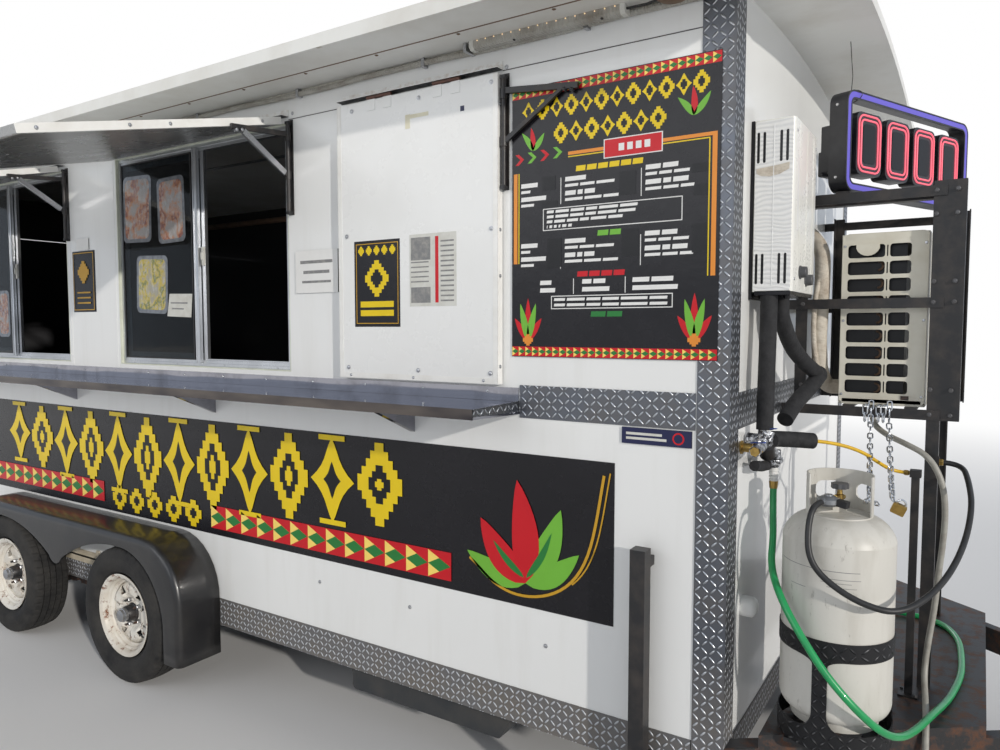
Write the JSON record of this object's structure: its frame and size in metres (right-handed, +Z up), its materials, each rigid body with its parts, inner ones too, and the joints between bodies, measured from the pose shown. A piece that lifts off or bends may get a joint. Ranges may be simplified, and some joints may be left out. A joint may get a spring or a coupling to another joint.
{
  "type": "food trailer",
  "caption": "Towed food trailer with a white box body, hinged window visors, a service counter, and a drawbar platform with gas, water and cooling equipment",
  "frame": {"origin": "on the ground, below the middle of the whole trailer's outline", "axes": "+X forward, along the drawbar to the coupler; the service side with the windows faces -Y; +Z up"},
  "size_m": [7.95, 3.545, 3.025],
  "materials": {
    "black_steel": "worn black paint",
    "brass": "plain",
    "cylinder_white": "worn paint",
    "fender_black": "glossy black paint",
    "floor_grey": "satin",
    "foam_grey": "foam cover",
    "heater_white": "gloss paint",
    "hinge_steel": "zinc plated",
    "hose_black": "satin",
    "hose_green": "satin",
    "hose_grey": "satin",
    "hose_yellow": "satin",
    "lamp_red": "gloss",
    "lamp_white": "gloss",
    "rim_white": "worn white paint",
    "roof_white": "gloss paint",
    "rusty_deck": "worn black paint with rust",
    "sign_board": "printed film",
    "sign_dark": "satin",
    "stainless": "brushed",
    "tank_grey": "satin",
    "tread_plate": "polished tread plate",
    "tyre": "road tyre",
    "unit_white": "satin paint",
    "visor_grey": "painted skin, bare edge",
    "wall_white": "gloss paint",
    "window_alloy": "mill finish",
    "window_glass": "clear"
  },
  "bodies": {
    "trailer": {"axles": "black_steel", "cooling_unit": "unit_white", "counter_brackets": "stainless", "coupler": "black_steel", "cylinder_holder": "black_steel", "drain_hose": "hose_grey", "equipment_cage": "black_steel", "fenders": "fender_black", "floor_deck": "floor_grey", "foam_pipes": "foam_grey", "frame_crossmembers": "black_steel", "frame_rails": "black_steel", "gas_cylinder": "cylinder_white", "gas_fittings": "brass", "gas_hose": "hose_black", "hinge_fittings": "hinge_steel", "hose_end": "brass", "lamp_tubes": "lamp_white", "leaf_springs": "black_steel", "line_set": "unit_white", "lit_sign": "sign_dark", "pipe_valves": "brass", "rear_lamps": "lamp_red", "roof": "roof_white", "roof_vent": "window_alloy", "service_counter": "stainless", "sign_panels": "sign_board", "spring_hangers": "black_steel", "stabiliser_legs": "black_steel", "supply_hose": "hose_green", "tongue_deck": "rusty_deck", "tongue_jack": "black_steel", "tread_plate_trim": "tread_plate", "wall_far": "wall_white", "wall_front": "wall_white", "wall_rear_header": "wall_white", "wall_rear_posts": "wall_white", "wall_service_bands": "wall_white", "wall_service_posts": "wall_white", "waste_tank": "tank_grey", "water_heater": "heater_white", "window_frames": "window_alloy", "window_glass": "window_glass", "worktop": "stainless", "yellow_hose": "hose_yellow"},
    "wheel_front_service": {"tyre_front_service": "tyre", "rim_front_service": "rim_white"},
    "wheel_rear_service": {"tyre_rear_service": "tyre", "rim_rear_service": "rim_white"},
    "wheel_front_far": {"tyre_front_far": "tyre", "rim_front_far": "rim_white"},
    "wheel_rear_far": {"tyre_rear_far": "tyre", "rim_rear_far": "rim_white"},
    "visor_1": {"visor_1": "visor_grey"},
    "prop_bracket_1": {"prop_bracket_1": "black_steel"},
    "visor_2": {"visor_2": "visor_grey"},
    "prop_bracket_2": {"prop_bracket_2": "black_steel"},
    "visor_3": {"visor_3": "visor_grey"},
    "prop_bracket_3": {"prop_bracket_3": "black_steel"},
    "rear_door": {"rear_door": "wall_white"}
  },
  "joints": [
    {"name": "wheel_front_service_spin", "type": "hinge", "parent": "trailer", "child": "wheel_front_service", "pos_m": [-0.455, -0.81404, 0.34], "axis": [0, 1, 0], "continuous": true},
    {"name": "wheel_rear_service_spin", "type": "hinge", "parent": "trailer", "child": "wheel_rear_service", "pos_m": [-1.605, -0.81404, 0.34], "axis": [0, 1, 0], "continuous": true},
    {"name": "wheel_front_far_spin", "type": "hinge", "parent": "trailer", "child": "wheel_front_far", "pos_m": [-0.455, 1.56496, 0.34], "axis": [0, 1, 0], "continuous": true},
    {"name": "wheel_rear_far_spin", "type": "hinge", "parent": "trailer", "child": "wheel_rear_far", "pos_m": [-1.605, 1.56496, 0.34], "axis": [0, 1, 0], "continuous": true},
    {"name": "visor_1_hinge", "type": "hinge", "parent": "trailer", "child": "visor_1", "pos_m": [-1.88, -0.72454, 2.63], "axis": [1, 0, 0], "range_deg": [-14, 76]},
    {"name": "visor_2_hinge", "type": "hinge", "parent": "trailer", "child": "visor_2", "pos_m": [-0.1, -0.72454, 2.63], "axis": [1, 0, 0], "range_deg": [-14, 76]},
    {"name": "visor_3_hinge", "type": "hinge", "parent": "trailer", "child": "visor_3", "pos_m": [1.249, -0.72454, 2.63], "axis": [1, 0, 0], "range_deg": [-90, 0]},
    {"name": "prop_bracket_1_swing", "type": "hinge", "parent": "trailer", "child": "prop_bracket_1", "pos_m": [-1.211, -0.70954, 2.42], "axis": [0, 0, 1], "range_deg": [0, 90]},
    {"name": "prop_bracket_2_swing", "type": "hinge", "parent": "trailer", "child": "prop_bracket_2", "pos_m": [0.569, -0.70954, 2.42], "axis": [0, 0, 1], "range_deg": [0, 90]},
    {"name": "prop_bracket_3_swing", "type": "hinge", "parent": "trailer", "child": "prop_bracket_3", "pos_m": [1.642, -0.70954, 2.42], "axis": [0, 0, 1], "range_deg": [-90, 0]},
    {"name": "rear_door_hinge", "type": "hinge", "parent": "trailer", "child": "rear_door", "pos_m": [-3.683, 0.90546, 1.48], "axis": [0, 0, 1], "range_deg": [-170, 0]}
  ]
}
